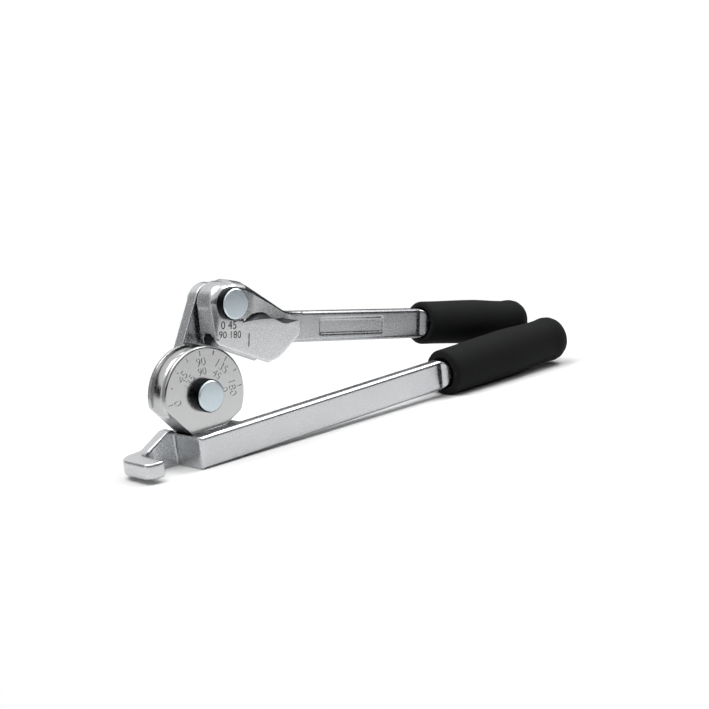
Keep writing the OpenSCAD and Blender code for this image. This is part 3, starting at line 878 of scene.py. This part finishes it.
# Second finish: the dark plate that is painted shade in the hollow and the stamps
shoe_mesh.materials.append(painted_shade_plate)
fill = bmesh.new()
lofted(fill, metal_behind)
shoe_mesh = combined("shoe_filled", shoe_mesh, fill, "UNION")
space = bmesh.new()
lofted(space, space_before)
shoe_mesh = combined("shoe_hollowed", shoe_mesh, space, "DIFFERENCE")
print("shoe handle with its hollow has", len(shoe_mesh.polygons), "faces")

# %% [markdown]
# ## Groove of the shoe
#
# The mouth of the groove is painted dark as shade, and along the lip the shade fades to plain plate. So the
# groove's finish is a fading plate, along the lip. The groove's faces are those that lie within its radius
# of its axis.

# %% Groove
GROOVE_R, GROOVE_SKIN = 4.8625, 0.12
LIP_DROP, LIP_ANGLE = 21.7, math.radians(16.5)
MOUTH = (3.0, 12.0)
GROOVE_FINISH = 2

lip_start = Vector((-LIP_DROP * math.sin(LIP_ANGLE), 0, -LIP_DROP * math.cos(LIP_ANGLE)))
lip_way = Vector((math.cos(LIP_ANGLE), 0, -math.sin(LIP_ANGLE)))
lip_turned = on_lever.to_3x3() @ lip_way
mouth = [(on_lever @ (lip_start * MM)).dot(lip_turned) + length * MM for length in MOUTH]
# The groove's mouth is painted dark as shade, fading to plain plate along the lip
shoe_mesh.materials.append(fading_plate("plate_with_painted_shade_in_the_groove", lip_turned, *mouth))
for face in shoe_mesh.polygons:
    spot = (from_lever @ face.center) / MM - lip_start
    if (spot - lip_way * spot.dot(lip_way)).length < GROOVE_R + GROOVE_SKIN:
        face.material_index = GROOVE_FINISH
print("faces of the groove:", sum(face.material_index == GROOVE_FINISH for face in shoe_mesh.polygons))

# %% [markdown]
# ## Marks on the shoe
#
# The shoe carries two short rows of marks for the start of a bend, and a line at which the tube's mark is
# set. The bottom of a stamp gets the dark plate that is painted shade, which makes the marks easy to read.

# %% Stamped shoe
# Numerals with their size, and the line with its length, each with its place along and square to the bar
SHOE_ROWS = (("0 45", 5.6, -0.4, -10.9), ("90 180", 5.0, 0.4, -15.6))
SHOE_LINE = (6.9, 12.2, -18.3)


def on_shoe_face(along, rise):
    """Place on the front of the shoe of a mark that stands square to the lever."""
    face = Matrix.Translation(Vector((along, SHOE_FRONT, rise)) * MM)
    return on_lever @ face @ facing_front


stamps = bmesh.new()
for words, size, along, rise in SHOE_ROWS:
    stamp_numerals(stamps, words, size, on_shoe_face(along, rise))
stamp_tick(stamps, SHOE_LINE[0], on_shoe_face(*SHOE_LINE[1:]))
# The stamps take the dark plate that is painted shade at their bottoms
for face in stamps.faces:
    face.material_index = PAINTED_SHADE_INDEX
shoe_mesh = combined("shoe_stamped", shoe_mesh, stamps, "DIFFERENCE")
piece("forged_shoe_handle", shoe_mesh, "shoe_handle", "shoe_handle", "satin_plate", crisp=FORGED_CRISP)

# %% [markdown]
# ## Turned pieces
#
# The pins and the grips are round, so each is an outline that is spun about its axis. The outline starts as
# a face with few corners. Beveling its corners as vertices rounds them, and the spin then carries the
# roundings all the way round.

# %% Spin an outline
SPIN_STEPS = 160
ROUND_STEPS = 5
CIRCULAR = 0.5


def spun(corners, axis_matrix):
    """Closed bmesh of an outline of (radius, place on the axis, rounding) in mm, spun about local Z."""
    bm = bmesh.new()
    verts = [bm.verts.new((r * MM, 0, z * MM)) for r, z, _ in corners]
    bm.faces.new(verts)
    for vert, (_, _, rounding) in zip(verts, corners):
        if rounding:
            bmesh.ops.bevel(bm, geom=[vert], offset=rounding * MM, offset_type="OFFSET",
                            segments=ROUND_STEPS, profile=CIRCULAR, affect="VERTICES", material=-1)
    bmesh.ops.delete(bm, geom=bm.faces[:], context="FACES_ONLY")
    on_axis = [e for e in bm.edges if max(abs(v.co.x) for v in e.verts) < WELD]
    bmesh.ops.delete(bm, geom=on_axis, context="EDGES")
    bmesh.ops.spin(bm, geom=bm.verts[:] + bm.edges[:], cent=(0, 0, 0), axis=(0, 0, 1), dvec=(0, 0, 0),
                   angle=2 * math.pi, steps=SPIN_STEPS, use_merge=True, use_duplicate=False)
    bmesh.ops.remove_doubles(bm, verts=bm.verts, dist=WELD)
    bmesh.ops.transform(bm, matrix=axis_matrix, verts=bm.verts)
    return bm


along_y = Matrix.Rotation(-math.pi / 2, 4, "X")
on_wheel = Matrix.Translation(wheel_axis) @ along_y
on_shoe = Matrix.Translation(shoe_axis) @ along_y

# %% [markdown]
# ## Forming wheel
#
# The wheel is turned, milled for its foot and then stamped with the bend angles. It is remeshed like the
# forgings, but finer, so that its edges only lose their burr. The outer row of the dial counts the bend,
# and the inner row counts it the other way round. The sloping side of the foot stands in a deep corner
# between wheel and hook, and its plate is painted with shade that darkens towards the bottom. Its faces
# are known by the way that they face.

# %% Stamped wheel
WHEEL_VOXEL, WHEEL_ROUNDS = 0.29, 2
OUTER_ROW, INNER_ROW, TICK_ROW = 16.4, 11.6, 21.0
OUTER_SIZE, INNER_SIZE = 6.0, 5.4
TICK_LEN = 2.6
DIAL = (0, 45, 90, 135, 180)
UPRIGHT_BEND = 90
HALF_MARKS = (22.5, 67.5, 112.5, 157.5)
HALF_MARK_LEN = 2.0

wheel_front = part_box("forming_wheel")[0].y
on_face = Matrix.Translation((wheel_axis.x, wheel_front, wheel_axis.z)) @ facing_front


def at_dial(bend, radius):
    """Place on the wheel's face of a mark for that bend, with its top towards the rim."""
    turned = Matrix.Rotation(math.radians(UPRIGHT_BEND - bend), 4, "Z")
    return on_face @ turned @ Matrix.Translation((0, radius * MM, 0))


stamps = bmesh.new()
for bend in DIAL:
    stamp_numerals(stamps, str(bend), OUTER_SIZE, at_dial(bend, OUTER_ROW))
    if bend:
        stamp_numerals(stamps, str(DIAL[-1] - bend), INNER_SIZE, at_dial(bend, INNER_ROW))
    stamp_tick(stamps, TICK_LEN, at_dial(bend, TICK_ROW))
for bend in HALF_MARKS:
    stamp_tick(stamps, HALF_MARK_LEN, at_dial(bend, TICK_ROW))
wheel_mesh = forged("forming_wheel", WHEEL_VOXEL, WHEEL_ROUNDS)
wheel_mesh = combined("wheel_stamped", wheel_mesh, stamps, "DIFFERENCE")
print("wheel with its dial has", len(wheel_mesh.polygons), "faces")

# %% Foot of the wheel
FOOT_CUT = Vector((-0.68, 0, -0.73))
FOOT_FACING = 0.85
FOOT_TOP = -6.5
FOOT_FADE = (-14.5, -8.5)
FOOT_FINISH = 1

wheel_mesh.materials.append(wheel_finish)
foot_fade = [wheel_axis.z + height * MM for height in FOOT_FADE]
# The foot's plate is painted dark as shade at the bottom of the corner, fading to plain plate above
wheel_mesh.materials.append(fading_plate("plate_with_painted_shade_on_the_foot", Vector((0, 0, 1)), *foot_fade))
for face in wheel_mesh.polygons:
    if face.normal.dot(FOOT_CUT) > FOOT_FACING and face.center.z < wheel_axis.z + FOOT_TOP * MM:
        face.material_index = FOOT_FINISH
piece("stamped_wheel", wheel_mesh, "fixed_handle", "forming_wheel", "wheel_plate")

# %% [markdown]
# ## Pins
#
# Both pins have a broad head, a shank, and a tail with a groove for the retaining ring. The head's side is
# black, and its chamfer and end face are turned bright and passivated. A cylinder with beveled ends would
# miss the ring's groove, so the whole outline is spun.

# %% Pins
PIN_R = 5.0
HEAD_CHAMFER = 1.2
BRIGHT_DEPTH = 0.6
RING_T = 1.2
RING_SINK = 0.8
PIN_TAIL = 1.2
FACE_ROUND, RIM_ROUND, TAIL_ROUND = 0.25, 0.35, 0.2
WHEEL_HEAD_H, SHOE_HEAD_H = 5.4, 5.2
ZINC, OXIDE = 0, 1


def headed_pin(name, node, body, matrix, head_h):
    """Pin in place of a node, with the node's head, length and place."""
    low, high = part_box(node)
    front, end = low.y / MM, high.y / MM
    head_r = (high.x - low.x) / 2 / MM
    flat_r, groove_r = head_r - HEAD_CHAMFER, PIN_R - RING_SINK
    tail = end - PIN_TAIL
    groove = tail - RING_T
    corners = [(0, front, 0), (flat_r, front, FACE_ROUND), (flat_r + BRIGHT_DEPTH, front + BRIGHT_DEPTH, 0),
               (head_r, front + HEAD_CHAMFER, RIM_ROUND), (head_r, front + head_h, 0),
               (PIN_R, front + head_h, 0), (PIN_R, groove, 0), (groove_r, groove, 0), (groove_r, tail, 0),
               (PIN_R, tail, 0), (PIN_R, end - PIN_TAIL / 2, TAIL_ROUND),
               (PIN_R - PIN_TAIL / 2, end, TAIL_ROUND), (0, end, 0)]
    bm = spun(corners, matrix)
    for face in bm.faces:
        middle = face.calc_center_median().y / MM
        on_side = front + BRIGHT_DEPTH < middle < front + head_h
        face.material_index = OXIDE if on_side else ZINC
    piece(name, to_mesh(name, bm), body, node, "zinc_steel", zinc, oxide)


headed_pin("turned_wheel_pin", "wheel_pin", "fixed_handle", on_wheel, WHEEL_HEAD_H)
headed_pin("turned_shoe_pin", "shoe_pin", "link", on_shoe, SHOE_HEAD_H)

# %% [markdown]
# ## Grips
#
# Each grip is a foam tube with a closed end, pushed over the tang of its handle. Its outline swells
# towards the middle, draws in before the end bead and closes in a broad round. The mouth is a cup in which
# the flared end of the bar sits.

# %% Foam grips
CUP_R = 8.7
CUP_DEPTH = 6.0
TANG_STOP = 10.0
BEAD_LEN = 15.0
WAIST = 0.9
TAPER = 0.5
TANG_ROUND, CUP_ROUND, LIP_ROUND, MOUTH_ROUND = 0.5, 1.0, 0.8, 1.9
END_ROUND, END_SLACK = 9.0, 0.5
SWELL_GAP = 2.0
SWELL_STEPS, BEAD_STEPS = 14, 4
FIXED_GRIP_LEN, FIXED_GRIP_R = 95.0, 13.3
SHOE_GRIP_LEN, SHOE_GRIP_R = 82.0, 12.5


def ease(share):
    """Half a wave from 0 to 1."""
    return (1 - math.cos(math.pi * share)) / 2


def stretch(radii, places, steps):
    """Corners of an outline that goes from one radius to another without a kink at either end."""
    shares = [step / steps for step in range(1, steps + 1)]
    return [(between(radii, ease(share)), between(places, share), 0) for share in shares]


def foam_grip(name, node, body, matrix, length, grip_r):
    """Soft grip in place of a node, from its mouth to its closed end."""
    bead, middle = length - BEAD_LEN, length / 2
    waist_r, end_r = grip_r - WAIST, grip_r - WAIST / 2
    corners = [(0, length - TANG_STOP, 0), (TANG_R, length - TANG_STOP, 0), (TANG_R, CUP_DEPTH, TANG_ROUND),
               (CUP_R, CUP_DEPTH, CUP_ROUND), (CUP_R, 0, LIP_ROUND), (grip_r - TAPER, 0, MOUTH_ROUND)]
    corners += stretch((grip_r - TAPER, grip_r), (MOUTH_ROUND + SWELL_GAP, middle), SWELL_STEPS)
    corners += stretch((grip_r, waist_r), (middle, bead), SWELL_STEPS)
    corners += stretch((waist_r, end_r), (bead, length - END_ROUND), BEAD_STEPS)
    corners += [(end_r, length, END_ROUND - END_SLACK), (0, length, 0)]
    grip = piece(name, to_mesh(name, spun(corners, matrix)), body, node, "foam", foam)


grip_low, grip_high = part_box("fixed_grip")
fixed_mouth = Vector((grip_low.x, (grip_low.y + grip_high.y) / 2, (grip_low.z + grip_high.z) / 2))
along_x = Matrix.Rotation(math.pi / 2, 4, "Y")
on_bar = Matrix.Translation(fixed_mouth) @ along_x
foam_grip("foam_fixed_grip", "fixed_grip", "fixed_handle", on_bar, FIXED_GRIP_LEN, FIXED_GRIP_R)
shoe_mouth = Matrix.Translation(Vector((LEVER_REACH, LEVER_MID, -LEVER_DROP)) * MM)
on_lever_end = on_lever @ shoe_mouth @ along_x
foam_grip("foam_shoe_grip", "shoe_grip", "shoe_handle", on_lever_end, SHOE_GRIP_LEN, SHOE_GRIP_R)

# %% [markdown]
# ## Pieces that stay as they are
#
# The screws, dowels, washers, rings and bushes lie inside the tool or behind it, and the CAD solids have
# their whole shape. So they keep the frame's own meshes, and only get a finish.

# %% Finishes of the pieces that stay as they are
# The bronze washers and bushes take the bronze that is painted nearly black as shade
PLAIN_FINISHES = {"wheel_screws": oxide, "wheel_dowels": zinc, "wheel_thrust_washer": bronze,
                  "wheel_back_washer": zinc, "wheel_spring_washer": spring, "wheel_pin_ring": spring,
                  "link_bush": bronze, "shoe_back_washer": zinc, "shoe_spring_washer": spring,
                  "shoe_pin_ring": spring, "shoe_bush": bronze, "shoe_thrust_washer": bronze}

for node, finish in PLAIN_FINISHES.items():
    nodes[node].data.materials.clear()
    nodes[node].data.materials.append(finish)
print("the frame's own meshes that stay:", len(PLAIN_FINISHES))

# %% [markdown]
# ## Floor
#
# The tool lies on a white table. The floor goes through the two places where the tool touches it: the heel
# of the head block and the belly of the grip. A plane could be placed by eye, but then the shadow would
# come loose from the tool.

# %% Floor
FLOOR_R = 4.0
FLOOR_SIDES = 96
HEEL_X = -12.3
CONTACT_GAP = 0.02

heel_x = HEEL_X * MM
belly_x = (grip_low.x + grip_high.x) / 2
floor_slope = math.atan2(-grip_low.z, belly_x - heel_x)
on_floor = Matrix.Translation((heel_x, 0, -CONTACT_GAP * MM)) @ Matrix.Rotation(floor_slope, 4, "Y")
bm = bmesh.new()
bmesh.ops.create_circle(bm, cap_ends=True, segments=FLOOR_SIDES, radius=FLOOR_R)
bmesh.ops.transform(bm, matrix=on_floor, verts=bm.verts)
floor = placed("floor", bpy.data.meshes.new("floor"))
bm.to_mesh(floor.data)
bm.free()
print("floor slopes by degrees:", round(math.degrees(floor_slope), 2))

# %% [markdown]
# ### White table
#
# Round the tool the table is matt white paper, which takes a shadow. Away from it the paper fades to the
# even white of the background, so that no horizon shows. Only rays that look at the table see that white:
# as a light it would wash the shadow out.

# %% White table
FADE_MIDDLE = Vector((0.10, 0, 0))
FADE_SIZE = Vector((0.20, 0.12, 1.0))
FADE_FROM, FADE_TO = 1.0, 2.2
MATT = 0.9
WHITE = (1, 1, 1, 1)


def white_rays(tree):
    """1 for the rays that see the background itself: from the camera, from metal and through glass."""
    rays = add(tree, "ShaderNodeLightPath", {})
    seen = add(tree, "ShaderNodeMath", {0: rays.outputs["Is Camera Ray"], 1: rays.outputs["Is Glossy Ray"]},
               operation="MAXIMUM")
    return add(tree, "ShaderNodeMath", {0: seen.outputs[0], 1: rays.outputs["Is Transmission Ray"]},
               operation="MAXIMUM").outputs[0]


table, tree, place = new_finish("white_table")
from_tool = add(tree, "ShaderNodeMapping", {"Vector": place, "Location": FADE_MIDDLE, "Scale": FADE_SIZE},
                vector_type="TEXTURE")
distance = add(tree, "ShaderNodeVectorMath", {0: from_tool.outputs["Vector"]}, operation="LENGTH")
fade = add(tree, "ShaderNodeMapRange", {"Value": distance.outputs["Value"], "From Min": FADE_FROM,
                                        "From Max": FADE_TO})
share = add(tree, "ShaderNodeMath", {0: fade.outputs["Result"], 1: white_rays(tree)}, operation="MULTIPLY")
paper = add(tree, "ShaderNodeBsdfPrincipled", {"Base Color": colour("#F4F4F4"), "Roughness": MATT,
                                               "Specular IOR Level": 0.0})
glow = add(tree, "ShaderNodeEmission", {"Color": WHITE, "Strength": 1.0})
surface = add(tree, "ShaderNodeMixShader", {0: share.outputs[0], 1: paper.outputs["BSDF"],
                                            2: glow.outputs["Emission"]})
add(tree, "ShaderNodeOutputMaterial", {"Surface": surface.outputs["Shader"]})
floor.data.materials.append(table)
print("finish of the floor:", table.name)

# %% [markdown]
# ## Room
#
# The room is white and gives a soft light from all sides. What looks at it directly sees it brighter, as a
# backdrop with lights of its own.

# %% Room
ROOM_LIGHT = 0.55

world = bpy.data.worlds.new("studio")
bpy.context.scene.world = world
world.use_nodes = True
tree = world.node_tree
tree.nodes.clear()
room = add(tree, "ShaderNodeBackground", {"Color": WHITE, "Strength": ROOM_LIGHT})
backdrop = add(tree, "ShaderNodeBackground", {"Color": WHITE, "Strength": 1.0})
mixed = add(tree, "ShaderNodeMixShader", {0: white_rays(tree), 1: room.outputs["Background"],
                                          2: backdrop.outputs["Background"]})
add(tree, "ShaderNodeOutputWorld", {"Surface": mixed.outputs["Shader"]})
print("light of the room:", ROOM_LIGHT)

# %% [markdown]
# ## Lamps
#
# Two softboxes hang about a metre above the table: a broad one over the head of the tool, a little behind
# it, and a smaller one to the right of the grips. Their size sets how soft the shadow's edge is.

# %% Lamps
KEY_PLACE, KEY_SIZE, KEY_POWER = (-0.12, 0.16, 0.93), 0.80, 6.6
SIDE_PLACE, SIDE_SIZE, SIDE_POWER = (0.76, -0.22, 0.98), 0.48, 6.5


def softbox(name, place, target, size, power):
    """Square lamp at a place, turned to a target."""
    lamp = bpy.data.lights.new(name, "AREA")
    lamp.shape = "SQUARE"
    lamp.size = size
    lamp.energy = power
    obj = placed(name, lamp)
    obj.location = place
    obj.rotation_euler = (Vector(target) - Vector(place)).to_track_quat("-Z", "Y").to_euler()
    print(name, "of", power, "W")


middle = (cad_low + cad_high) / 2
softbox("key_softbox", KEY_PLACE, middle, KEY_SIZE, KEY_POWER)
softbox("side_softbox", SIDE_PLACE, middle, SIDE_SIZE, SIDE_POWER)

# %% [markdown]
# ## Screens
#
# Bright metal looks like what stands round it, and in a white room all its faces would be white. So dark
# cloths stand round the front and the right of the table and a grey one at the back on the left, and each
# face takes a tone of its own. A low card darkens the far end of the upper bar. Pictures of a studio could
# be wrapped round the scene instead, but screens can be moved one by one. The camera sees none of them.

# %% Screens
SCREEN_STEPS = 32
# Name, colour, radius, lower and upper height in metres, first and last bearing in degrees
SCREENS = (("front_screen", "#0C0C0C", 0.70, -0.03, 0.34, -180, 44),
           ("side_screen", "#0C0C0C", 0.70, 0.04, 0.27, 44, 58),
           ("left_screen", "#ADADAD", 0.32, 0.0, 0.30, 105, 165),
           ("low_card", "#0C0C0C", 0.354, -0.01, 0.045, -36, -16))


def cloth(name, code):
    """Matt cloth of one colour."""
    material, tree, _ = new_finish(name)
    shader = add(tree, "ShaderNodeBsdfPrincipled", {"Base Color": colour(code), "Roughness": MATT,
                                                    "Specular IOR Level": 0.0})
    add(tree, "ShaderNodeOutputMaterial", {"Surface": shader.outputs["BSDF"]})
    return material


def screen(name, code, radius, low, high, start, end):
    """A curved screen of cloth round the wheel, between two heights and two bearings from the bar."""
    bm = bmesh.new()
    corner = Vector((math.cos(math.radians(start)), math.sin(math.radians(start)), 0)) * radius
    foot = bm.verts.new(corner + Vector((0, 0, low)))
    head = bm.verts.new(corner + Vector((0, 0, high)))
    edge = bm.edges.new((foot, head))
    bmesh.ops.spin(bm, geom=[foot, head, edge], cent=(0, 0, 0), axis=(0, 0, 1), dvec=(0, 0, 0),
                   angle=math.radians(end - start), steps=SCREEN_STEPS, use_merge=False,
                   use_duplicate=False)
    mesh = bpy.data.meshes.new(name)
    bm.to_mesh(mesh)
    bm.free()
    mesh.materials.append(cloth(name + "_cloth", code))
    obj = placed(name, mesh)
    obj.visible_camera = False


for row in SCREENS:
    screen(*row)
print("screens:", [row[0] for row in SCREENS])
